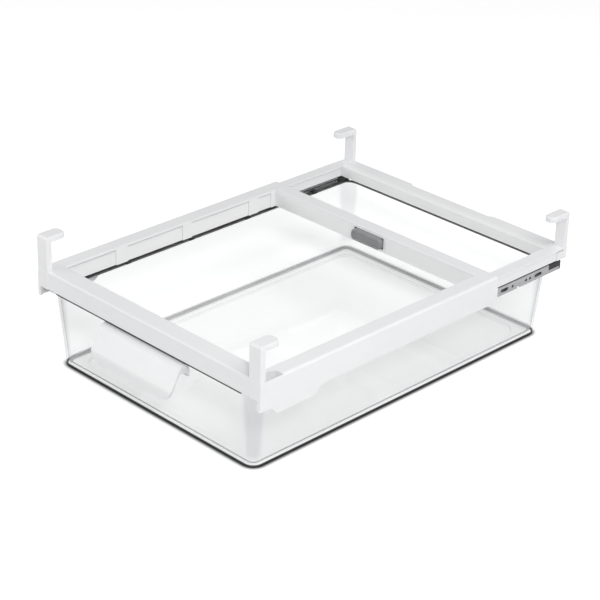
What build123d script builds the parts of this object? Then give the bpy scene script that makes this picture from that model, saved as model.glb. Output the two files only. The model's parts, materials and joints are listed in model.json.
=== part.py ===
from build123d import *
from math import atan2, degrees, hypot
import os

os.makedirs("parts", exist_ok=True)

# An under-shelf pull-out drawer: a white two-part frame with four hooks, a clear bin on two
# ball-bearing slides, and a release button for the telescoping rear half of the frame.
# Millimetres. +Z is up, +Y points to the back of the refrigerator, and the origin is on the
# surface that the bin stands on, in the middle of the whole object.

# Overall
width = 300.0               # outside of the skirts
depth = 412.0               # front of the frame to the back of the rear hooks
handle_reach = 16.0         # handle in front of the frame
top = 97.0                  # top face of the frame above the bin's base
half = width / 2
front = -(depth - handle_reach) / 2

# Front frame
bar_height = 18.3
front_bar_depth = 19.5
side_bar_width = 16.5
front_length = 307.0
cross_bar_depth = 15.0
plate = 2.0
slab = 3.0                  # depth of the top's rounded outer edges
inner_wall = 2.4
skirt_wall = 1.8
bar_setback = 0.8           # front bar's face behind the hooks' faces
front_leg_x = 146.5         # inside of the skirt's front leg
skirt_drop = 27.0
skirt_nose_drop = 28.1
skirt_deep_drop = 35.6
channel_floor_drop = 14.3
channel_floor = 1.2
cross_front = front_length - cross_bar_depth
cross_wall = 1.8
bar_inner_x = half - side_bar_width
cavity_inner_x = bar_inner_x + inner_wall
cavity_outer_x = half - skirt_wall

# Hooks
hook_gap = 28.5             # shelf space between the frame's top and the hook's underside
hook_thick = 5.5
hook_tip_radius = 5.5       # tip of the hook seen from above
hook_edge_radius = 1.2
front_brow_radius, rear_brow_radius = 2.5, 2.0
front_hook_width = 14.5
front_hook_post = 6.0
front_hook_reach = 23.5
rear_hook_width = 12.0
rear_hook_post = 5.0
rear_hook_reach = 26.0

# Rear frame
rear_drop = 2.3             # rear frame's top below the front frame's top
rear_bottom_drop = 14.0
rear_bar_depth = 20.5
rear_half = 148.0
arm_cap = 2.1
arm_wall = 1.8
arm_x = (136.2, 147.9)
arm_lip = 1.0
arm_groove_height, arm_groove_depth = 0.8, 2.0
arm_roof = 1.2              # solid below the groove
arm_start = 205.0
arm_end = 397.5             # where the side's full width starts
rear_end_wall = 3.6
rear_rib_drop = 8.0
arm_rib_y = (245.0, 285.0, 325.0, 362.0)
rear_notch_half = 51.0
rear_notch_depth = 3.0

# Ball-bearing slides
slide_drop = 20.6           # slide's centre line below the frame's top
slide_half_height = 4.6
slide_start, slide_end = 8.0, 404.0
channel_x = (139.0, 146.2)
channel_web = 1.2
channel_lip = 1.1
runner_x = (138.6, 142.4)
runner_half_height = 2.0
runner_start, runner_end = 12.0, 387.6
ball_radius = 1.2
ball_x = 140.8
ball_offset = 2.82          # balls above and below the slide's centre line
ball_clearance = 0.05
ball_pitch = 12.0
balls_per_row = 10
cage_start, cage_length = 146.0, 122.0
cage_thick = 0.5
channel_screw_y = (40.0, 150.0, 280.0)
web_slot_y = (322.0, 372.0)
web_hole_y = (334.0, 354.0, 360.0)
web_notch_y = 343.0
stop_start, end_stop_end = 388.0, 406.0
stop_seat_drop = 21.6       # the channel is cut away above this behind the runner
stop_tongue_length, stop_tongue_thick, stop_tongue_half = 10.0, 2.0, 3.0

# Bin
rim_drop = 20.0
bin_height = top - rim_drop
base_half, rim_half = 131.0, 137.2
base_front, base_back = 11.0, 397.0
rim_front, rim_back = 5.2, 403.0
base_corner, rim_corner = 10.0, 13.0
bin_wall = 2.0
bin_floor = 2.2
panel_step = 1.2
panel_margin = 14.0
panel_corner = 12.0
clip_y = (97.0, 178.0, 254.0, 350.0)
clip_length = 6.0
clip_outer_drop = 1.9       # clip's outer leg below the slide's centre line
clip_stud_end, clip_stud_radius = 141.4, 1.2
rim_lip_half = 125.0        # lip on the front rim, under the front bar
rim_lip_front = 1.4
rim_lip_drop, rim_lip_thick = 19.0, 1.2

# Handle
handle_half = 55.0
handle_wall = 2.2
handle_corner = 15.0
handle_top_drop = 20.6
handle_bottom_drop = 54.0
handle_screw_x = 30.0
handle_screw_drop = 27.5

# Release button and latch
button_x = -2.9             # the button is off centre
button_drop = 9.4
button_width, button_height = 39.0, 11.6
button_proud = 5.2
button_gap = 0.3
button_travel = 3.0
button_shell = 1.6
button_corner, button_edge_radius = 4.5, 1.3
rod_radius = 2.0
rod_clearance = 0.1
rod_y = 302.0
rod_drop = 9.0
rod_tip_x = 134.0
rod_ratio = 0.75            # rod travel for each millimetre of button travel
cam_pin_x, cam_pin_y, cam_pin_radius = 13.5, 298.0, 1.2
guide_x = (46.0, 110.0)
collar_x = 60.0
pad_radius = 2.6
pad_tip_x = 137.0
cover_screw_x = (38.0, 118.0)
cover_screw_y = 296.7


def block(x, y, z, mode=Mode.ADD):
    """Box between two x, two distances behind the frame's front, and two heights from its top."""
    centre = (sum(x) / 2, front + sum(y) / 2, top + sum(z) / 2)
    with Locations(centre):
        Box(abs(x[1] - x[0]), abs(y[1] - y[0]), abs(z[1] - z[0]), mode=mode)


def rod_along_x(x, y, z, radius, mode=Mode.ADD):
    """Cylinder along X between two x."""
    with Locations(Location((sum(x) / 2, front + y, top + z), (0, 90, 0))):
        Cylinder(radius, abs(x[1] - x[0]), mode=mode)


def rod_along_y(x, y, z, radius, mode=Mode.ADD):
    """Cylinder along Y between two distances behind the frame's front."""
    with Locations(Location((x, front + sum(y) / 2, top + z), (90, 0, 0))):
        Cylinder(radius, abs(y[1] - y[0]), mode=mode)


def post_along_z(x, y, z, radius, mode=Mode.ADD):
    """Upright cylinder between two heights from the frame's top."""
    with Locations((x, front + y, top + sum(z) / 2)):
        Cylinder(radius, abs(z[1] - z[0]), mode=mode)


def s_curve(start, end):
    """Two equal tangent arcs that leave start and reach end level."""
    middle = ((start[0] + end[0]) / 2, (start[1] + end[1]) / 2)
    first = TangentArc(start, middle, tangent=(1, 0))
    TangentArc(middle, end, tangent=first % 1)


def coil(radius, wire, length, turns):
    """Open helical spring along +Z from the origin."""
    pitch = (length - wire) / turns
    with BuildPart() as spring:
        with BuildLine() as path:
            Helix(pitch=pitch, height=length - wire, radius=radius)
        with BuildSketch(Plane(origin=path.line @ 0, z_dir=path.line % 0)):
            Circle(wire / 2)
        sweep()
    return spring.part.moved(Location((0, 0, wire / 2)))


def save(part, name):
    """Label a finished piece and write its file."""
    part.label = name
    export_step(part, f"parts/{name}.step")


# Front frame: front bar, side bars with skirts, cross bar and front hooks in one moulding.
# The right half is built and mirrored.
window_inset, window_start, window_end = 10.4, front_hook_post, 27.1
window_front_radius, window_rear_radius = 9.5, 6.0
window_notch, pocket_depth, pocket_wall = 1.4, 11.0, 1.5
inner_edge_radius, front_edge_radius, side_edge_radius = 0.8, 1.6, 2.5
skirt_outline = [
    (0.0, -skirt_nose_drop), (9.5, -skirt_nose_drop),
    (24.0, -skirt_deep_drop), (60.0, -skirt_deep_drop),
    (80.0, -skirt_drop), (front_length, -skirt_drop),
]
recesses = [(21.5, 81.0), (95.5, 165.5), (177.5, 254.5), (267.0, 285.5)]
recess_depth, recess_drop, recess_slot = 1.3, 2.4, 1.2
rib, rib_pitch, rib_drop = 1.6, 36.0, 14.0

with BuildPart() as front_hook:
    with BuildSketch(Plane.YZ.offset(half - front_hook_width)) as hook_side:
        with BuildLine():
            Polyline(
                (front, top - bar_height), (front + front_hook_post, top - bar_height),
                (front + front_hook_post, top + hook_gap),
                (front + front_hook_reach, top + hook_gap),
                (front + front_hook_reach, top + hook_gap + hook_thick),
                (front, top + hook_gap + hook_thick), close=True)
        make_face()
        brow = hook_side.vertices().sort_by(Axis.Y)[-2:].sort_by(Axis.X)[:1]
        fillet(brow, front_brow_radius)
    extrude(amount=front_hook_width)
    fillet(front_hook.faces().sort_by(Axis.Y)[-1].edges().filter_by(Axis.Z), hook_tip_radius)
    fillet(front_hook.faces().sort_by(Axis.Z)[-1].edges(), hook_edge_radius)

with BuildPart() as front_frame:
    # top: a slab with rounded edges, thinned from below where the bars are hollow
    block((0, half), (bar_setback, front_length), (-slab, 0))
    block((-1, bar_inner_x), (front_bar_depth, cross_front), (-slab, 0), Mode.SUBTRACT)
    top_edges = front_frame.faces().sort_by(Axis.Z)[-1].edges()
    top_edges = top_edges.filter_by_position(Axis.X, 1, half)
    fillet(top_edges.sort_by(Axis.X)[:-1].sort_by(Axis.Y)[1:], inner_edge_radius)
    fillet(front_frame.faces().sort_by(Axis.Z)[-1].edges().sort_by(Axis.Y)[0], front_edge_radius)
    fillet(front_frame.faces().sort_by(Axis.Z)[-1].edges().sort_by(Axis.X)[-1], side_edge_radius)
    block((0, cavity_outer_x), (bar_setback + plate, front_bar_depth - plate), (-slab, -plate),
          Mode.SUBTRACT)
    block((cavity_inner_x, cavity_outer_x), (bar_setback + plate, front_length), (-slab, -plate),
          Mode.SUBTRACT)
    block((0, cavity_outer_x), (cross_front + cross_wall, front_length - cross_wall),
          (-slab, -plate), Mode.SUBTRACT)
    # front bar: face, inner face and ribs between them
    block((0, half - 1), (bar_setback, bar_setback + plate), (-bar_height, -plate))
    block((0, bar_inner_x), (front_bar_depth - plate, front_bar_depth), (-bar_height, -plate))
    for number in range(4):
        rib_x = rib_pitch * (number + 0.5)
        block((rib_x, rib_x + rib), (bar_setback + plate, front_bar_depth - plate),
              (-rib_drop, -plate))
    # side bar: skirt, inner wall, floor that carries the rear frame's arm, front corner
    with BuildSketch(Plane.YZ.offset(cavity_outer_x)):
        with BuildLine():
            outline = [(front + y, top + z) for y, z in skirt_outline]
            Line(outline[0], outline[1])
            s_curve(outline[1], outline[2])
            Line(outline[2], outline[3])
            s_curve(outline[3], outline[4])
            Line(outline[4], outline[5])
            Polyline(outline[5], (front + front_length, top - slab), (front, top - slab),
                     outline[0])
        make_face()
    extrude(amount=skirt_wall)
    block((front_leg_x, half), (0, plate), (-skirt_nose_drop, -slab))
    block((bar_inner_x, cavity_inner_x), (front_bar_depth - plate, front_length),
          (-bar_height, -plate))
    block((cavity_inner_x, cavity_outer_x), (front_bar_depth, front_length),
          (-channel_floor_drop - channel_floor, -channel_floor_drop))
    block((bar_inner_x, cavity_outer_x), (front_bar_depth - plate, front_bar_depth),
          (-channel_floor_drop - channel_floor, -plate))
    for start, end in recesses:
        block((bar_inner_x, bar_inner_x + recess_depth), (start, end),
              (-bar_height, -recess_drop), Mode.SUBTRACT)
        block((bar_inner_x, cavity_inner_x), (start, end),
              (-recess_drop - recess_slot, -recess_drop), Mode.SUBTRACT)
    add(front_hook.part)
    # bosses that the slide channel is screwed to
    for screw_y in channel_screw_y:
        rod_along_x((channel_x[1], cavity_outer_x), screw_y, -slide_drop, 3.6)
        rod_along_x((channel_x[1] - 1, half - 0.6), screw_y, -slide_drop, 1.05, Mode.SUBTRACT)
    # cross bar: two walls, rod guides, cover bosses
    block((0, bar_inner_x), (cross_front, cross_front + cross_wall), (-bar_height, -plate))
    block((0, bar_inner_x), (front_length - cross_wall, front_length), (-bar_height, -plate))
    for x in guide_x:
        block((x - 1, x + 1), (cross_front + 1, front_length - 1), (-bar_height + 1.8, -plate))
    for x in cover_screw_x:
        post_along_z(x, cover_screw_y, (-bar_height + 1.8, -plate), 2.3)
        post_along_z(x, cover_screw_y, (-bar_height + 1, -8), 1.05, Mode.SUBTRACT)
    rod_along_x((guide_x[0] - 2, guide_x[1] + 2), rod_y, -rod_drop,
                rod_radius + rod_clearance, Mode.SUBTRACT)
    rod_along_x((bar_inner_x - 1, cavity_inner_x + 1), rod_y, -rod_drop,
                pad_radius + 0.4, Mode.SUBTRACT)
    mirror(about=Plane.YZ)
    # window behind the right hook's post only: a pocket with a shallow notch in the outer edge
    block((half - window_inset - pocket_wall, cavity_outer_x),
          (bar_setback, window_end + pocket_wall), (-pocket_depth - pocket_wall, -plate))
    with BuildSketch(Plane.XY.offset(top)) as window:
        with Locations((half - window_inset / 2, front + (window_start + window_end) / 2)):
            Rectangle(window_inset, window_end - window_start)
        inner_corners = window.vertices().sort_by(Axis.X)[:2].sort_by(Axis.Y)
        fillet(inner_corners[0], window_front_radius)
        fillet(window.vertices().sort_by(Axis.Y)[-2:].sort_by(Axis.X)[0], window_rear_radius)
    extrude(amount=-window_notch, mode=Mode.SUBTRACT)
    with BuildSketch(Plane.XY.offset(top)):
        add(window.sketch)
        with Locations((half - skirt_wall / 2, front + window_end / 2)):
            Rectangle(skirt_wall, window_end, mode=Mode.SUBTRACT)
    extrude(amount=-pocket_depth, mode=Mode.SUBTRACT)
    # opening for the button
    block((button_x - button_width / 2 - button_gap, button_x + button_width / 2 + button_gap),
          (cross_front - 1, cross_front + 3),
          (-button_drop - button_height / 2 - button_gap,
           -button_drop + button_height / 2 + button_gap), Mode.SUBTRACT)
save(front_frame.part, "front_frame")

# Cross bar cover, a strip that closes the cross bar from below, and its screws
cover_thick = 1.6
with BuildPart() as cross_bar_cover:
    block((-bar_inner_x + 0.3, bar_inner_x - 0.3), (cross_front + 2.1, front_length - 2.1),
          (-bar_height, -bar_height + cover_thick))
    for side in (-1, 1):
        for x in cover_screw_x:
            post_along_z(side * x, cover_screw_y, (-bar_height, -bar_height + cover_thick),
                         1.3, Mode.SUBTRACT)
save(cross_bar_cover.part, "cross_bar_cover")

with BuildPart() as cover_screws:
    for side in (-1, 1):
        for x in cover_screw_x:
            post_along_z(side * x, cover_screw_y, (-bar_height - 0.9, -bar_height), 2.2)
            post_along_z(side * x, cover_screw_y, (-bar_height, -9.0), 1.0)
            block((side * x - 1.6, side * x + 1.6), (cover_screw_y - 0.3, cover_screw_y + 0.3),
                  (-bar_height - 1.0, -bar_height - 0.5), Mode.SUBTRACT)
save(cover_screws.part, "cover_screws")

# Rear frame: rear bar, two channel-shaped arms and the rear hooks in one moulding
with BuildPart() as rear_hook:
    with BuildSketch(Plane.YZ.offset(rear_half - rear_hook_width)) as hook_side:
        back = front + depth
        with BuildLine():
            Polyline(
                (back, top - rear_bottom_drop), (back - rear_hook_post, top - rear_bottom_drop),
                (back - rear_hook_post, top + hook_gap),
                (back - rear_hook_reach, top + hook_gap),
                (back - rear_hook_reach, top + hook_gap + hook_thick),
                (back, top + hook_gap + hook_thick), close=True)
        make_face()
        brow = hook_side.vertices().sort_by(Axis.Y)[-2:].sort_by(Axis.X)[-1:]
        fillet(brow, rear_brow_radius)
    extrude(amount=rear_hook_width)
    fillet(rear_hook.faces().sort_by(Axis.Y)[0].edges().filter_by(Axis.Z), hook_tip_radius)
    fillet(rear_hook.faces().sort_by(Axis.Z)[-1].edges(), hook_edge_radius)

bar_front = depth - rear_bar_depth
with BuildPart() as rear_frame:
    # rear bar: an inverted trough, with a shallow notch in its rear edge
    with BuildSketch(Plane.XY.offset(top - rear_bottom_drop)) as bar_plan:
        with BuildLine():
            Polyline(
                (-rear_half, front + bar_front), (rear_half, front + bar_front),
                (rear_half, front + depth), (rear_notch_half + 4, front + depth),
                (rear_notch_half, front + depth - rear_notch_depth),
                (-rear_notch_half, front + depth - rear_notch_depth),
                (-rear_notch_half - 4, front + depth), (-rear_half, front + depth), close=True)
        make_face()
    extrude(amount=rear_bottom_drop - rear_drop)
    fillet(rear_frame.faces().sort_by(Axis.Z)[-1].edges(), inner_edge_radius)
    with BuildSketch(Plane.XY.offset(top - rear_bottom_drop)):
        add(bar_plan.sketch)
        offset(amount=-arm_wall, kind=Kind.INTERSECTION)
        with Locations((0, front + depth - rear_bar_depth / 2)):
            Rectangle(2 * (rear_half - rear_end_wall), rear_bar_depth, mode=Mode.INTERSECT)
    extrude(amount=rear_bottom_drop - rear_drop - arm_wall, mode=Mode.SUBTRACT)
    for number in range(-3, 4):
        rib_x = number * 39.0
        block((rib_x - rib / 2, rib_x + rib / 2), (bar_front + 1, depth - rear_notch_depth - 1),
              (-rear_rib_drop, -rear_drop - 1))
    # arms: a wide cap over a narrower trough, with a groove under the cap's edges that goes on
    # along the bar's end to the rear corner
    cap_bottom = -rear_drop - arm_cap
    groove_bottom = cap_bottom - arm_groove_height
    trough_top = groove_bottom - arm_roof
    inner_x, outer_x = arm_x[0] + arm_lip, arm_x[1] - arm_lip
    for side in (-1, 1):
        block((side * arm_x[0], side * arm_x[1]), (arm_start, bar_front + 1),
              (cap_bottom, -rear_drop))
        block((side * inner_x, side * outer_x), (arm_start, bar_front),
              (-rear_bottom_drop, cap_bottom))
        block((side * outer_x, side * half), (bar_front, arm_end),
              (-rear_bottom_drop, cap_bottom), Mode.SUBTRACT)
        for groove_start, groove_end, face_x in ((arm_start, arm_end, outer_x),
                                                 (arm_end, depth, rear_half)):
            block((side * (face_x - arm_groove_depth), side * half), (groove_start, groove_end),
                  (groove_bottom, cap_bottom), Mode.SUBTRACT)
        block((side * arm_x[0], side * (inner_x + arm_groove_depth)), (arm_start, bar_front),
              (groove_bottom, cap_bottom), Mode.SUBTRACT)
        block((side * (inner_x + arm_wall), side * (outer_x - arm_wall)),
              (arm_start + arm_wall, bar_front - arm_wall),
              (-rear_bottom_drop - 1, trough_top), Mode.SUBTRACT)
        for rib_y in arm_rib_y:
            block((side * (inner_x + 1), side * (outer_x - 1)), (rib_y, rib_y + rib),
                  (-rear_bottom_drop + 2, trough_top))
    add(rear_hook.part)
    mirror(rear_hook.part, about=Plane.YZ)
save(rear_frame.part, "rear_frame")

# Ball-bearing slides, right side first, then mirrored
slide_z = top - slide_drop
cage_x = (143.1, 143.1 + cage_thick)


def channel_profile():
    """C section of the outer member, with a raceway in each lip, as a sketch across Y."""
    with BuildSketch(Plane.XZ) as section:
        with Locations((sum(channel_x) / 2, slide_z)):
            Rectangle(channel_x[1] - channel_x[0], 2 * slide_half_height)
        hollow = channel_x[1] - channel_web - channel_x[0]
        with Locations((channel_x[0] + hollow / 2, slide_z)):
            Rectangle(hollow, 2 * (slide_half_height - channel_lip), mode=Mode.SUBTRACT)
        with Locations((ball_x, slide_z + ball_offset), (ball_x, slide_z - ball_offset)):
            Circle(ball_radius + ball_clearance, mode=Mode.SUBTRACT)
    return section.sketch


def along_y(profile, start, end):
    """Solid from a sketch on the XZ plane, between two distances behind the frame's front."""
    return extrude(profile.moved(Location((0, front + start, 0))), amount=end - start,
                   dir=(0, 1, 0), mode=Mode.PRIVATE)


with BuildPart() as slide_channel_right:
    add(along_y(channel_profile(), slide_start, slide_end))
    block((channel_x[0] - 1, channel_x[1] + 1), (stop_start, depth), (-stop_seat_drop, -plate),
          Mode.SUBTRACT)
    for screw_y in channel_screw_y:
        rod_along_x((channel_x[1] - 2, channel_x[1] + 1), screw_y, -slide_drop, 1.3, Mode.SUBTRACT)
    for slot_y in web_slot_y:
        with BuildSketch(Plane.YZ.offset(channel_x[1] - 2)):
            with Locations((front + slot_y, slide_z)):
                SlotOverall(11.0, 3.4)
        extrude(amount=3, mode=Mode.SUBTRACT)
    for hole_y in web_hole_y:
        rod_along_x((channel_x[1] - 2, channel_x[1] + 1), hole_y, -slide_drop, 1.5, Mode.SUBTRACT)
    rod_along_x((channel_x[1] - 3, channel_x[1] + 1), web_notch_y,
                -slide_drop - slide_half_height, 2.6, Mode.SUBTRACT)
save(slide_channel_right.part, "slide_channel_right")

with BuildPart() as slide_runner_right:
    with BuildSketch(Plane.XZ) as runner_section:
        with Locations((sum(runner_x) / 2, slide_z)):
            Rectangle(runner_x[1] - runner_x[0], 2 * runner_half_height)
        with Locations((ball_x, slide_z + ball_offset), (ball_x, slide_z - ball_offset)):
            Circle(ball_radius + ball_clearance, mode=Mode.SUBTRACT)
    extrude(runner_section.sketch.moved(Location((0, front + runner_start, 0))),
            amount=runner_end - runner_start, dir=(0, 1, 0))
    for y in clip_y:
        rod_along_x((runner_x[0] - 1, runner_x[0] + 3), y, -slide_drop,
                    clip_stud_radius + ball_clearance, Mode.SUBTRACT)
save(slide_runner_right.part, "slide_runner_right")

ball_y = [cage_start + ball_pitch / 2 + 1 + n * ball_pitch for n in range(balls_per_row)]
with BuildPart() as ball_cage_right:
    cage_top = ball_offset + cage_thick / 2
    block(cage_x, (cage_start, cage_start + cage_length),
          (-slide_drop - cage_top, -slide_drop + cage_top))
    for side in (-1, 1):
        block((ball_x - 1.7, cage_x[1]), (cage_start, cage_start + cage_length),
              (-slide_drop + side * (ball_offset - cage_thick / 2),
               -slide_drop + side * (ball_offset + cage_thick / 2)))
    for y in ball_y:
        post_along_z(ball_x, y, (-slide_drop - 5, -slide_drop + 5),
                     ball_radius + ball_clearance, Mode.SUBTRACT)
save(ball_cage_right.part, "ball_cage_right")

with BuildPart() as bearing_balls_right:
    with Locations([(ball_x, front + y, slide_z + side * ball_offset)
                    for y in ball_y for side in (-1, 1)]):
        Sphere(ball_radius)
save(bearing_balls_right.part, "bearing_balls_right")

with BuildPart() as channel_screws_right:
    for y in channel_screw_y:
        rod_along_x((channel_x[1] - channel_web - 0.9, channel_x[1] - channel_web), y,
                    -slide_drop, 2.2)
        rod_along_x((channel_x[1] - channel_web, half - 0.8), y, -slide_drop, 1.0)
save(channel_screws_right.part, "channel_screws_right")

# Black end stop that fills the cut-away rear end of the channel and stops the runner
with BuildPart() as end_stop_right:
    block(channel_x, (stop_start, end_stop_end), (-stop_seat_drop, -slide_drop + slide_half_height))
    block(channel_x, (slide_end, end_stop_end),
          (-slide_drop - slide_half_height, -slide_drop + slide_half_height))
    fillet(end_stop_right.faces().sort_by(Axis.Y)[-1].edges().filter_by(Axis.X), 1.0)
    block((channel_x[1] - channel_web - stop_tongue_thick, channel_x[1] - channel_web),
          (stop_start - stop_tongue_length, stop_start + 1),
          (-slide_drop - stop_tongue_half, -slide_drop + stop_tongue_half))
save(end_stop_right.part, "end_stop_right")

# Black bumper in the front end of the channel, which stops the ball cage
with BuildPart() as front_stop_right:
    block((cage_x[0], channel_x[1] - channel_web), (slide_start, slide_start + 6),
          (-slide_drop - 3.2, -slide_drop + 3.2))
    fillet(front_stop_right.edges().filter_by(Axis.X), 1.0)
save(front_stop_right.part, "front_stop_right")

# Clips that hang the bin's rim on the runner: a saddle over the rim and a stud in the runner
clip_top = -rim_drop + 0.1
clip_roof, clip_inner_leg = 0.9, 2.0
clip_inner_x, clip_outer_x = (133.9, 134.6), (137.35, 138.5)
with BuildPart() as bin_clips_right:
    for y in clip_y:
        ends = (y - clip_length / 2, y + clip_length / 2)
        block((clip_inner_x[0], clip_outer_x[1]), ends, (clip_top, clip_top + clip_roof))
        block(clip_inner_x, ends, (clip_top - clip_inner_leg, clip_top))
        block(clip_outer_x, ends, (-slide_drop - clip_outer_drop, clip_top))
        rod_along_x((clip_outer_x[0], clip_stud_end), y, -slide_drop, clip_stud_radius)
save(bin_clips_right.part, "bin_clips_right")

right_pieces = {
    "slide_channel": slide_channel_right, "slide_runner": slide_runner_right,
    "ball_cage": ball_cage_right, "bearing_balls": bearing_balls_right,
    "channel_screws": channel_screws_right, "end_stop": end_stop_right,
    "front_stop": front_stop_right, "bin_clips": bin_clips_right,
}
for name, piece in right_pieces.items():
    with BuildPart() as left_piece:
        mirror(piece.part, about=Plane.YZ)
    save(left_piece.part, f"{name}_left")


def rounded_plan(half_width, near, far, corner, height):
    """Rounded rectangle in plan at a height above the base, between two y from the frame's front."""
    with BuildSketch(Plane.XY.offset(height)) as plan:
        with Locations((0, front + (near + far) / 2)):
            RectangleRounded(2 * half_width, far - near, corner)
    return plan.sketch


# Clear bin with drafted walls and a raised floor panel inside a foot ring
with BuildPart() as bin_cavity:
    loft([
        rounded_plan(base_half - bin_wall, base_front + bin_wall, base_back - bin_wall,
                     base_corner - bin_wall, bin_floor),
        rounded_plan(rim_half - bin_wall, rim_front + bin_wall, rim_back - bin_wall,
                     rim_corner - bin_wall, bin_height),
    ])
    fillet(bin_cavity.faces().sort_by(Axis.Z)[0].edges(), 3.5)

with BuildPart() as bin_shell:
    loft([
        rounded_plan(base_half, base_front, base_back, base_corner, 0),
        rounded_plan(rim_half, rim_front, rim_back, rim_corner, bin_height),
    ])
    fillet(bin_shell.faces().sort_by(Axis.Z)[0].edges(), 2.0)
    add(bin_cavity.part, mode=Mode.SUBTRACT)
    block((-rim_lip_half, rim_lip_half), (rim_lip_front, rim_front + bin_wall),
          (-rim_lip_drop - rim_lip_thick, -rim_lip_drop))
    panel = rounded_plan(base_half - panel_margin, base_front + panel_margin,
                         base_back - panel_margin, panel_corner, 0)
    extrude(panel.moved(Location((0, 0, bin_floor - 0.1))), amount=panel_step + 0.1)
    extrude(panel.moved(Location((0, 0, -1))), amount=panel_step + 1, mode=Mode.SUBTRACT)
    for side in (-1, 1):
        rod_along_y(side * handle_screw_x, (0, 15), -handle_screw_drop, 1.7, Mode.SUBTRACT)
save(bin_shell.part, "bin")

# Handle: a curved lip with side gussets and a back plate that is screwed to the bin
handle_plate_drop = 33.0    # lower edge of the back plate
gusset_outline = [(4.8, -handle_top_drop - 0.5), (-2.5, -22.5), (-5.0, -27.0), (4.8, -31.0)]
with BuildPart() as handle:
    with BuildSketch(Plane.YZ.offset(-handle_half)) as lip:
        with BuildLine():
            FilletPolyline(
                (front + 4.8, top - handle_top_drop), (front - 4.5, top - 21.8),
                (front - handle_reach, top - 44.5), (front - handle_reach, top - handle_bottom_drop),
                radius=(7.0, 10.0))
            offset(amount=handle_wall, side=Side.LEFT)
        make_face()
    extrude(amount=2 * handle_half)
    for x in (-handle_half, handle_half - handle_wall):
        with BuildSketch(Plane.YZ.offset(x)):
            with BuildLine():
                Polyline([(front + y, top + z) for y, z in gusset_outline], close=True)
            make_face()
        extrude(amount=handle_wall)
    with BuildSketch(Plane.YZ.offset(-handle_half)):
        with BuildLine():
            Polyline(
                (front + 2.9, top - handle_top_drop), (front + 5.1, top - handle_top_drop),
                (front + 6.0, top - handle_plate_drop), (front + 3.8, top - handle_plate_drop),
                close=True)
        make_face()
    extrude(amount=2 * handle_half)
    with BuildSketch(Plane.XZ.offset(-front + handle_reach + 1)) as front_view:
        with Locations((0, top - (handle_top_drop + handle_bottom_drop) / 2)):
            Rectangle(2 * handle_half, handle_bottom_drop - handle_top_drop)
        fillet(front_view.vertices().sort_by(Axis.Y)[:2], handle_corner)
    extrude(amount=-2 * handle_reach, mode=Mode.INTERSECT)
    for side in (-1, 1):
        rod_along_y(side * handle_screw_x, (-1.5, 4.2), -handle_screw_drop, 3.0)
        rod_along_y(side * handle_screw_x, (-1.0, 6.0), -handle_screw_drop, 1.2, Mode.SUBTRACT)
save(handle.part, "handle")

with BuildPart() as handle_screws:
    for side in (-1, 1):
        rod_along_y(side * handle_screw_x, (-0.5, 8.1), -handle_screw_drop, 1.15)
        rod_along_y(side * handle_screw_x, (8.1, 9.9), -handle_screw_drop, 3.0)
save(handle_screws.part, "handle_screws")

# Release button: a dished cap with retaining edges above and below, and two cam pins
button_front = cross_front - button_proud
button_side_back = cross_front + 0.6
button_back = cross_front + 3.4
button_dish, button_dish_margin, button_cap = 0.8, 2.6, 2.4
dish_edge_radius = 0.5
cam_arm_z, cam_pin_z = (-7.4, -5.0), (-11.0, -7.0)
with BuildPart() as release_button:
    with BuildSketch(Plane.XZ.offset(-front - button_front)) as cap_face:
        with Locations((button_x, top - button_drop)):
            RectangleRounded(button_width, button_height, button_corner)
    extrude(amount=-(button_side_back - button_front))
    fillet(release_button.faces().sort_by(Axis.Y)[0].edges(), button_edge_radius)
    with BuildSketch(Plane.XZ.offset(-front - button_front)):
        with Locations((button_x, top - button_drop)):
            RectangleRounded(button_width - 2 * button_dish_margin,
                             button_height - 2 * button_dish_margin,
                             button_corner - button_dish_margin)
    extrude(amount=-button_dish, mode=Mode.SUBTRACT)
    fillet(release_button.faces().sort_by(Axis.Y)[0].inner_wires().edges(), dish_edge_radius)
    with BuildSketch(Plane.XZ.offset(-front - button_front - button_cap)):
        with Locations((button_x, top - button_drop)):
            RectangleRounded(button_width - 2 * button_shell, button_height - 2 * button_shell,
                             button_corner - button_shell)
    extrude(amount=-8, mode=Mode.SUBTRACT)
    for side in (-1, 1):
        lip_x = (button_x - button_width / 2 + 4, button_x + button_width / 2 - 4)
        wall_z = -button_drop + side * (button_height / 2 - button_shell)
        face_z = -button_drop + side * button_height / 2
        block(lip_x, (button_side_back - 1, button_back), (wall_z, face_z))
        block(lip_x, (cross_front + 2.0, button_back), (wall_z, face_z + side))
        block((side * cam_pin_x - 1.5, side * cam_pin_x + 1.5), (button_front + 2, cam_pin_y + 1.5),
              cam_arm_z)
        post_along_z(side * cam_pin_x, cam_pin_y, cam_pin_z, cam_pin_radius)
save(release_button.part, "release_button")

# Latch rods: each has a slanted slot that its cam pin pulls inwards, and a spring collar
slot_clearance = 0.1
rod_plate_front, rod_plate_step, rod_plate_back = 295.9, 299.1, 304.6
rod_travel = rod_ratio * button_travel
with BuildPart() as latch_rod_right:
    block((cam_pin_x - 4, cam_pin_x + 2), (rod_plate_front, rod_plate_back),
          (-rod_drop - 1, -rod_drop + 1))
    block((cam_pin_x - 4, 28.0), (rod_plate_step, rod_plate_back), (-rod_drop - 1, -rod_drop + 1))
    with BuildSketch(Plane.XY.offset(top - rod_drop - 2)):
        slot_run = hypot(rod_travel, button_travel)
        slot_turn = degrees(atan2(button_travel, rod_travel))
        with Locations(Location((cam_pin_x + rod_travel / 2, front + cam_pin_y + button_travel / 2, 0),
                                (0, 0, slot_turn))):
            SlotCenterToCenter(slot_run, 2 * (cam_pin_radius + slot_clearance))
    extrude(amount=4, mode=Mode.SUBTRACT)
    rod_along_x((26.0, rod_tip_x), rod_y, -rod_drop, rod_radius)
    rod_along_x((collar_x, collar_x + 2), rod_y, -rod_drop, 3.0)
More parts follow.
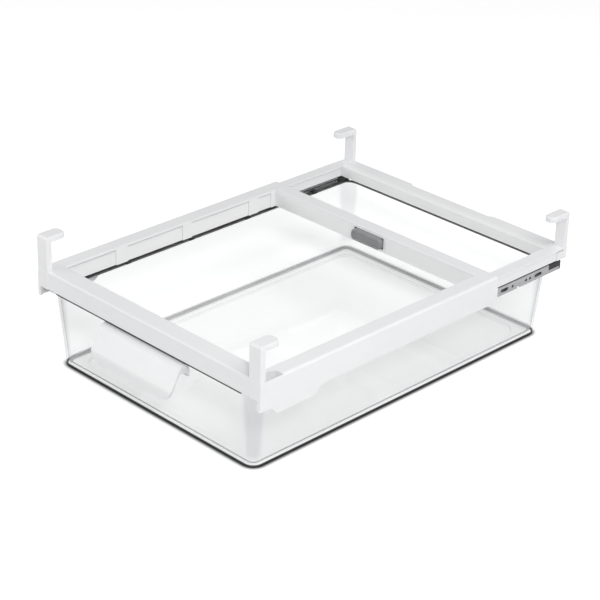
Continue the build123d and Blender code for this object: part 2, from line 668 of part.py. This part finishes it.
save(latch_rod_right.part, "latch_rod_right")

with BuildPart() as brake_pad_right:
    rod_along_x((rod_tip_x, pad_tip_x), rod_y, -rod_drop, pad_radius)
    fillet(brake_pad_right.edges().sort_by(Axis.X)[-1], 0.6)
save(brake_pad_right.part, "brake_pad_right")

spring_length = collar_x - guide_x[0] - 1
with BuildPart() as rod_spring_right:
    add(coil(2.7, 0.5, spring_length, 6).moved(
        Location((guide_x[0] + 1, front + rod_y, top - rod_drop), (0, 90, 0))))
save(rod_spring_right.part, "rod_spring_right")

for name, piece in {"latch_rod": latch_rod_right, "brake_pad": brake_pad_right,
                    "rod_spring": rod_spring_right}.items():
    with BuildPart() as left_piece:
        mirror(piece.part, about=Plane.YZ)
    save(left_piece.part, f"{name}_left")

spring_front = button_front + button_cap
spring_back = front_length - cross_wall
with BuildPart() as button_spring:
    add(coil(3.0, 0.6, spring_back - spring_front, 6).moved(
        Location((0, front + spring_back, top - button_drop), (90, 0, 0))))
save(button_spring.part, "button_spring")
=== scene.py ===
import bpy
import json
from math import radians, sin, cos
from mathutils import Matrix, Vector

# Looks of an under-shelf pull-out drawer: materials, studio and camera. Metres.

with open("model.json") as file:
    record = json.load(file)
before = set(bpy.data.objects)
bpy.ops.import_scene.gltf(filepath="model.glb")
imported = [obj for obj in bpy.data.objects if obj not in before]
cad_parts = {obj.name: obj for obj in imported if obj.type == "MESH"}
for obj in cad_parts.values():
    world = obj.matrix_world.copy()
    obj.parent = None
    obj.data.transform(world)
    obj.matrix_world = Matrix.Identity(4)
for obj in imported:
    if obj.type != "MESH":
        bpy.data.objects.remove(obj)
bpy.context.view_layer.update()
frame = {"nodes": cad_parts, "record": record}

# Frame
HALF = 0.150               # outside of the skirts
FRONT = -0.198             # front face of the hooks
REAR = 0.214               # back of the rear frame
TOP = 0.097                # top face of the frame
INNER_FACE_IN = 0.014      # inner faces of the bars are further in than this
TOP_EDGE = (0.0022, 0.0008)        # below the top, where the painted light on the inner faces ends

# Bin. A pair is the two ends of a ramp.
RIM = 0.077                # rim of the bin
BASE = (0.131, -0.187, 0.199)      # base: half width, front, back
BASE_CORNER = 0.010
FILLET_OUTER, FILLET_INNER = (0.0014, 0.0022), (0.0050, 0.0058)    # in from the base's outline
FILLET_BOTTOM, FILLET_TOP = (0.0016, 0.0022), (0.0050, 0.0062)     # above the base
FOOT_RING_IN, FOOT_RING_TOP = (0.0008, 0.0014), (0.0022, 0.0030)
RIM_EDGE = (0.0022, 0.0014)        # below the rim
CORNER_SIDE = (0.011, 0.006)       # in from the base's sides
CORNER_BOTTOM = (0.006, 0.012)
FILLET_SHADE_STRENGTH = 0.80                # how strongly the grey painted shade covers the base's inner fillet
EDGE_SHADOW_STRENGTH = 0.93           # how strongly the black painted shadow covers the foot ring's and rim's edges
# greys of the painted shade on the base's inner fillet
FILLET_SHADE_DARK, FILLET_SHADE_LIGHT = (0.52, 0.52, 0.53), (0.66, 0.66, 0.67)
CORNER_SHADE_TINT = (0.89, 0.895, 0.90)  # painted shade: what a pass through the bin's upright corners keeps of light


# ---------------------------------------------------------------- node helpers
def new_material(name):
    mat = bpy.data.materials.new(name)
    mat.use_nodes = True
    tree = mat.node_tree
    tree.nodes.clear()
    return mat, tree


def node(tree, kind, x=0, y=0, **values):
    made = tree.nodes.new(kind)
    made.location = (x, y)
    for key, value in values.items():
        setattr(made, key, value)
    return made


def put(tree, source, target):
    tree.links.new(source, target)


def coords(tree):
    return node(tree, "ShaderNodeTexCoord", -1400, 0).outputs["Object"]


def noise(tree, scale, detail=3.0, rough=0.5, where=None):
    made = node(tree, "ShaderNodeTexNoise", -1100, 0)
    put(tree, where or coords(tree), made.inputs["Vector"])
    made.inputs["Scale"].default_value = scale
    made.inputs["Detail"].default_value = detail
    made.inputs["Roughness"].default_value = rough
    return made.outputs["Fac"]


def spread(tree, source, low, high, start=0.3, end=0.7):
    made = node(tree, "ShaderNodeMapRange", -800, 0)
    put(tree, source, made.inputs["Value"])
    made.inputs["From Min"].default_value = start
    made.inputs["From Max"].default_value = end
    made.inputs["To Min"].default_value = low
    made.inputs["To Max"].default_value = high
    return made.outputs["Result"]


def math(tree, how, a, b=0.0, clamp=False):
    made = node(tree, "ShaderNodeMath", -600, 0, operation=how, use_clamp=clamp)
    for socket, value in zip(made.inputs, (a, b)):
        if isinstance(value, (int, float)):
            socket.default_value = value
        else:
            put(tree, value, socket)
    return made.outputs[0]


def mixed(tree, fac, a, b):
    made = node(tree, "ShaderNodeMix", -400, 0, data_type="RGBA")
    for socket, value in zip((made.inputs[0], made.inputs[6], made.inputs[7]), (fac, a, b)):
        if isinstance(value, (int, float)):
            socket.default_value = value
        elif isinstance(value, tuple):
            socket.default_value = (*value, 1.0)
        else:
            put(tree, value, socket)
    return made.outputs[2]


def bump(tree, height, strength, distance):
    made = node(tree, "ShaderNodeBump", -300, -400)
    made.inputs["Strength"].default_value = strength
    made.inputs["Distance"].default_value = distance
    put(tree, height, made.inputs["Height"])
    return made.outputs["Normal"]


def axis_value(tree, axis):
    made = node(tree, "ShaderNodeSeparateXYZ", -1200, 300)
    put(tree, coords(tree), made.inputs[0])
    return made.outputs[axis]


def inside_outline(tree, half, front, rear, corner):
    """How far inside a rounded rectangle in plan a point is, negative outside it."""
    split = node(tree, "ShaderNodeSeparateXYZ", -1200, 300)
    put(tree, coords(tree), split.inputs[0])
    middle = math(tree, "SUBTRACT", split.outputs["Y"], (front + rear) / 2)
    x = math(tree, "SUBTRACT", math(tree, "ABSOLUTE", split.outputs["X"]), half - corner)
    y = math(tree, "SUBTRACT", math(tree, "ABSOLUTE", middle), (rear - front) / 2 - corner)
    x2 = math(tree, "POWER", math(tree, "MAXIMUM", x, 0.0), 2.0)
    y2 = math(tree, "POWER", math(tree, "MAXIMUM", y, 0.0), 2.0)
    away = math(tree, "SQRT", math(tree, "ADD", x2, y2))
    nearer = math(tree, "MINIMUM", math(tree, "MAXIMUM", x, y), 0.0)
    return math(tree, "SUBTRACT", corner, math(tree, "ADD", away, nearer))


def upright_corner(tree):
    """1 on the bin's upright corners, fading to 0 on the flat walls beside them."""
    split = node(tree, "ShaderNodeSeparateXYZ", -1200, 500)
    put(tree, coords(tree), split.inputs[0])
    half, front, rear = BASE
    middle = math(tree, "SUBTRACT", split.outputs["Y"], (front + rear) / 2)
    x = spread(tree, math(tree, "ABSOLUTE", split.outputs["X"]), 0.0, 1.0,
               half - CORNER_SIDE[0], half - CORNER_SIDE[1])
    y = spread(tree, math(tree, "ABSOLUTE", middle), 0.0, 1.0,
               (rear - front) / 2 - CORNER_SIDE[0], (rear - front) / 2 - CORNER_SIDE[1])
    above = spread(tree, split.outputs["Z"], 0.0, 1.0, *CORNER_BOTTOM)
    return math(tree, "MULTIPLY", math(tree, "MULTIPLY", x, y), above)


def principled(tree, **values):
    made = node(tree, "ShaderNodeBsdfPrincipled", 0, 0)
    out = node(tree, "ShaderNodeOutputMaterial", 300, 0)
    put(tree, made.outputs[0], out.inputs["Surface"])
    for key, value in values.items():
        socket = made.inputs[key.replace("_", " ")]
        if isinstance(value, (int, float)):
            socket.default_value = value
        elif isinstance(value, tuple):
            socket.default_value = (*value, 1.0)
        else:
            put(tree, value, socket)
    return made


# ---------------------------------------------------------------- materials
def plastic(name, dark, light, rough, grain=0.00004, grain_scale=2600.0):
    """Moulded plastic: faint flow marks in the colour, uneven gloss and a fine spark texture."""
    mat, tree = new_material(name)
    flow = spread(tree, noise(tree, 9.0, 4.0, 0.6), 0.0, 1.0)
    gloss = spread(tree, noise(tree, 60.0, 4.0), rough - 0.04, rough + 0.04)
    grainy = bump(tree, noise(tree, grain_scale, 2.0), 0.35, grain)
    principled(tree, Base_Color=mixed(tree, flow, dark, light), Roughness=gloss,
               Normal=grainy, IOR=1.49)
    return mat


def metal(name, dark, light, rough, along=None, grain=0.00003):
    """Metal with drawn streaks along one axis, or speckled where no axis is given."""
    mat, tree = new_material(name)
    if along is None:
        pattern = noise(tree, 700.0, 4.0, 0.6)
    else:
        stretch = node(tree, "ShaderNodeMapping", -1250, -200)
        put(tree, coords(tree), stretch.inputs["Vector"])
        scale = [900.0, 900.0, 900.0]
        scale[along] = 14.0
        stretch.inputs["Scale"].default_value = scale
        pattern = noise(tree, 1.0, 4.0, 0.6, where=stretch.outputs[0])
    streaks = mixed(tree, spread(tree, pattern, 0.0, 1.0), dark, light)
    principled(tree, Metallic=1.0, Base_Color=streaks,
               Roughness=spread(tree, pattern, rough - 0.06, rough + 0.06),
               Normal=bump(tree, pattern, 0.3, grain))
    return mat


def rubber(name, dark, light):
    """Matt rubber with fine specks."""
    mat, tree = new_material(name)
    speck = noise(tree, 1500.0, 3.0)
    principled(tree, Base_Color=mixed(tree, speck, dark, light),
               Roughness=spread(tree, speck, 0.6, 0.8), Normal=bump(tree, speck, 0.4, 0.00005))
    return mat


def clear_plastic(name):
    """Clear wall: passes what is behind it, and is greyer at a grazing angle. The upright corners
    are greyer by painted shade. Grey painted shade along the inner fillet of the base stands in
    for light bent in the thick moulding, and a black painted shadow along the foot ring's outside
    and the rim stands in for the contact shadow and the shadow gap under the frame."""
    mat, tree = new_material(name)
    facing = node(tree, "ShaderNodeLayerWeight", -900, 300)
    facing.inputs["Blend"].default_value = 0.30
    edge = math(tree, "POWER", facing.outputs["Facing"], 3.0)
    wave = spread(tree, noise(tree, 14.0, 3.0, 0.5), 0.0, 1.0)
    clear = node(tree, "ShaderNodeBsdfTransparent", -100, 200)
    tint = mixed(tree, edge, (0.975, 0.978, 0.978), (0.70, 0.712, 0.715))
    # painted shade: the upright corners pass less light than the flat walls
    put(tree, mixed(tree, upright_corner(tree), tint, CORNER_SHADE_TINT), clear.inputs["Color"])
    gloss = node(tree, "ShaderNodeBsdfGlossy", -100, 0)
    put(tree, spread(tree, wave, 0.02, 0.06, 0.0, 1.0), gloss.inputs["Roughness"])
    put(tree, bump(tree, noise(tree, 30.0, 2.0), 0.15, 0.0006), gloss.inputs["Normal"])
    fresnel = node(tree, "ShaderNodeFresnel", -300, 100)
    fresnel.inputs["IOR"].default_value = 1.45
    inside = node(tree, "ShaderNodeNewGeometry", -500, 300).outputs["Backfacing"]
    outside = math(tree, "SUBTRACT", 1.0, inside)
    body = node(tree, "ShaderNodeMixShader", 100, 100)
    put(tree, math(tree, "MULTIPLY", fresnel.outputs[0], outside), body.inputs[0])
    put(tree, clear.outputs[0], body.inputs[1])
    put(tree, gloss.outputs[0], body.inputs[2])

    height = axis_value(tree, 2)
    depth_in = inside_outline(tree, *BASE, BASE_CORNER)
    # painted shade: grey on the inner fillet of the base, for light bent in the thick moulding
    outer_side = spread(tree, depth_in, 0.0, 1.0, *FILLET_OUTER)
    inner_side = spread(tree, depth_in, 1.0, 0.0, *FILLET_INNER)
    low_enough = spread(tree, height, 1.0, 0.0, *FILLET_TOP)
    above_foot = spread(tree, height, 0.0, 1.0, *FILLET_BOTTOM)
    fillet_shade_mask = math(tree, "MULTIPLY", math(tree, "MULTIPLY", outer_side, inner_side),
                math(tree, "MULTIPLY", low_enough, above_foot))
    fillet_shade_bsdf = node(tree, "ShaderNodeBsdfDiffuse", 100, 400)
    put(tree, mixed(tree, wave, FILLET_SHADE_DARK, FILLET_SHADE_LIGHT), fillet_shade_bsdf.inputs["Color"])
    with_fillet_shade = node(tree, "ShaderNodeMixShader", 300, 200)
    put(tree, math(tree, "MULTIPLY", fillet_shade_mask, FILLET_SHADE_STRENGTH), with_fillet_shade.inputs[0])
    put(tree, body.outputs[0], with_fillet_shade.inputs[1])
    put(tree, fillet_shade_bsdf.outputs[0], with_fillet_shade.inputs[2])

    # painted shadow: black on the foot ring's outside, for the contact shadow and the dark edge of
    # the thick moulding, and on the rim, for the shadow gap under the frame
    low = spread(tree, height, 1.0, 0.0, *FOOT_RING_TOP)
    ring = spread(tree, depth_in, 1.0, 0.0, *FOOT_RING_IN)
    high = spread(tree, height, 0.0, 1.0, RIM - RIM_EDGE[0], RIM - RIM_EDGE[1])
    # mask of the painted shadow on the foot ring and the rim
    dark = math(tree, "MAXIMUM", math(tree, "MULTIPLY", low, ring), high, clamp=True)
    black = node(tree, "ShaderNodeBsdfPrincipled", 100, -200)
    put(tree, mixed(tree, wave, (0.014, 0.014, 0.014), (0.06, 0.06, 0.06)),
        black.inputs["Base Color"])
    black.inputs["Roughness"].default_value = 0.3
    both = node(tree, "ShaderNodeMixShader", 500, 0)
    put(tree, math(tree, "MULTIPLY", dark, EDGE_SHADOW_STRENGTH), both.inputs[0])
    put(tree, with_fillet_shade.outputs[0], both.inputs[1])
    put(tree, black.outputs[0], both.inputs[2])
    out = node(tree, "ShaderNodeOutputMaterial", 700, 0)
    put(tree, both.outputs[0], out.inputs["Surface"])
    return mat


def crevice_shade_mask(tree, reach=0.0025):
    """1 in grooves and joints narrower than the reach, 0 on open surfaces; marks where painted
    shade goes.
    """
    made = node(tree, "ShaderNodeAmbientOcclusion", -900, -300)
    made.samples = 8
    made.inputs["Distance"].default_value = reach
    return spread(tree, made.outputs["AO"], 1.0, 0.0, 0.15, 0.55)


def white_plastic(name):
    """White moulded plastic with a fine spark texture; its inner faces are painted lighter as
    painted light, and its grooves and joints are painted dark as painted shade.
    """
    mat, tree = new_material(name)
    flow = spread(tree, noise(tree, 9.0, 4.0, 0.6), 0.0, 1.0)
    # painted light: the inner faces of the bars are made lighter than the outside
    inner = math(tree, "MULTIPLY",
                 spread(tree, inside_outline(tree, HALF, FRONT, REAR, 0.001), 0.0, 1.0,
                        INNER_FACE_IN - 0.001, INNER_FACE_IN),
                 spread(tree, axis_value(tree, 2), 1.0, 0.0, TOP - TOP_EDGE[0], TOP - TOP_EDGE[1]))
    outside = mixed(tree, flow, (0.835, 0.842, 0.852), (0.865, 0.868, 0.875))
    # painted shade: grooves and joints are darkened to grey
    colour = mixed(tree, crevice_shade_mask(tree), mixed(tree, inner, outside, (0.90, 0.90, 0.905)),
                   (0.42, 0.43, 0.45))
    gloss = spread(tree, noise(tree, 60.0, 4.0), 0.33, 0.41)
    principled(tree, Base_Color=colour, Roughness=gloss,
               Normal=bump(tree, noise(tree, 2600.0, 2.0), 0.35, 0.00004), IOR=1.49)
    return mat


MATERIALS = {
    "white_plastic": white_plastic("white_plastic"),
    "clear_plastic": clear_plastic("clear_plastic"),
    "grey_plastic": plastic("grey_plastic", (0.23, 0.235, 0.24), (0.29, 0.295, 0.30), rough=0.42),
    "black_plastic": plastic("black_plastic", (0.016, 0.016, 0.017), (0.028, 0.028, 0.03),
                             rough=0.42),
    "black_rubber": rubber("black_rubber", (0.015, 0.015, 0.015), (0.03, 0.03, 0.03)),
    "zinc_steel": metal("zinc_steel", (0.52, 0.525, 0.53), (0.68, 0.68, 0.69), rough=0.46,
                        along=1),
    "cage_steel": metal("cage_steel", (0.42, 0.42, 0.41), (0.60, 0.60, 0.58), rough=0.30, along=1),
    "bright_steel": metal("bright_steel", (0.62, 0.62, 0.63), (0.78, 0.78, 0.79), rough=0.14),
    "screw_steel": metal("screw_steel", (0.48, 0.48, 0.49), (0.66, 0.66, 0.67), rough=0.28),
    "spring_steel": metal("spring_steel", (0.40, 0.40, 0.42), (0.62, 0.62, 0.64), rough=0.25),
}
slot_of = {row["node"]: row["material_slot"] for row in frame["record"]["subparts"]}
for name, obj in frame["nodes"].items():
    obj.data.materials.clear()
    obj.data.materials.append(MATERIALS[slot_of[name]])


# ---------------------------------------------------------------- studio
FLOOR_REACH, FLOOR_DROP = 6.0, 0.0002
WORLD_SEEN, WORLD_LIGHT = 1.0, 0.42
FLOOR_GLOW = 0.48          # added to the floor in the picture only
CONTACT_SHADOW_REACH = 0.006            # reach of the floor's painted shadow where the object touches it


def lit_for_camera(tree, bright, dim):
    """1 on rays that the picture shows, through clear walls as well, and less for the light."""
    path = node(tree, "ShaderNodeLightPath", -800, 0)
    seen = math(tree, "MAXIMUM", path.outputs["Is Camera Ray"], path.outputs["Is Transmission Ray"])
    return spread(tree, seen, dim, bright, 0.0, 1.0)


scene = bpy.context.scene
world = bpy.data.worlds.new("studio")
world.use_nodes = True
scene.world = world
tree = world.node_tree
background = tree.nodes["Background"]
background.inputs["Color"].default_value = (1.0, 1.0, 1.0, 1.0)
put(tree, lit_for_camera(tree, WORLD_SEEN, WORLD_LIGHT), background.inputs["Strength"])

mesh = bpy.data.meshes.new("floor")
mesh.from_pydata([(x * FLOOR_REACH, y * FLOOR_REACH, 0)
                  for x, y in ((-1, -1), (1, -1), (1, 1), (-1, 1))], [], [(0, 1, 2, 3)])
floor = bpy.data.objects.new("floor", mesh)
floor.location.z = -FLOOR_DROP
scene.collection.objects.link(floor)
mat, tree = new_material("floor")
diffuse = node(tree, "ShaderNodeBsdfDiffuse", 0, 200)
# painted shadow: the floor seen directly is darkened towards black close to the object
contact_shadow_ao = node(tree, "ShaderNodeAmbientOcclusion", -800, 400)
contact_shadow_ao.samples = 16
contact_shadow_ao.inputs["Distance"].default_value = CONTACT_SHADOW_REACH
direct = node(tree, "ShaderNodeLightPath", -800, 200)
through = math(tree, "MINIMUM", direct.outputs["Transparent Depth"], 1.0)
shade = math(tree, "MAXIMUM", spread(tree, contact_shadow_ao.outputs["AO"], 0.03, 1.0, 0.5, 0.97), through)
put(tree, mixed(tree, shade, (0.0, 0.0, 0.0), (0.8, 0.8, 0.8)), diffuse.inputs["Color"])
glow = node(tree, "ShaderNodeEmission", 0, 0)
glow.inputs["Color"].default_value = (1.0, 1.0, 1.0, 1.0)
put(tree, math(tree, "MULTIPLY", lit_for_camera(tree, FLOOR_GLOW, 0.0), shade),
    glow.inputs["Strength"])
total = node(tree, "ShaderNodeAddShader", 200, 100)
put(tree, diffuse.outputs[0], total.inputs[0])
put(tree, glow.outputs[0], total.inputs[1])
out = node(tree, "ShaderNodeOutputMaterial", 400, 100)
put(tree, total.outputs[0], out.inputs["Surface"])
mesh.materials.append(mat)


def softbox(name, place, target, size, watts):
    light = bpy.data.lights.new(name, "AREA")
    light.shape = "RECTANGLE"
    light.size, light.size_y = size
    light.energy = watts
    made = bpy.data.objects.new(name, light)
    made.location = place
    made.rotation_mode = "QUATERNION"
    made.rotation_quaternion = (Vector(target) - Vector(place)).to_track_quat("-Z", "Y")
    scene.collection.objects.link(made)


middle = (0.0, 0.0, 0.05)
softbox("key", place=(1.45, -1.15, 1.35), target=middle, size=(0.30, 0.30), watts=14.5)
softbox("over", place=(0.9, 0.1, 1.5), target=middle, size=(1.2, 1.2), watts=10.5)
softbox("left", place=(-1.2, -1.3, 0.6), target=(-0.1, 0.0, 0.05), size=(1.0, 0.8), watts=7.5)
softbox("back right", place=(1.5, 0.9, 0.5), target=(0.1, 0.2, 0.05), size=(0.8, 0.6), watts=1.8)

# ---------------------------------------------------------------- camera
# Fitted to the photograph, which is 600 pixels wide
focal_pixels, photo_pixels, sensor = 1930.0, 600.0, 36.0
azimuth, elevation, roll = radians(44.64), radians(26.73), radians(1.60)
back = Vector((sin(azimuth) * cos(elevation), -cos(azimuth) * cos(elevation), sin(elevation)))
level = Vector((cos(azimuth), sin(azimuth), 0.0))
upright = back.cross(level)
right = cos(roll) * level + sin(roll) * upright
up = -sin(roll) * level + cos(roll) * upright
place = Vector((1.1562, -0.9748 + FRONT, 0.7848 + TOP))
lens = bpy.data.cameras.new("camera")
lens.sensor_width = sensor
lens.lens = sensor * focal_pixels / photo_pixels
lens.clip_start, lens.clip_end = 0.05, 50.0
camera = bpy.data.objects.new("camera", lens)
scene.collection.objects.link(camera)
camera.matrix_world = Matrix.Translation(place) @ Matrix((
    (right.x, up.x, back.x, 0), (right.y, up.y, back.y, 0), (right.z, up.z, back.z, 0),
    (0, 0, 0, 1)))
scene.camera = camera

scene.cycles.transparent_max_bounces = 24
scene.view_settings.view_transform = "Standard"
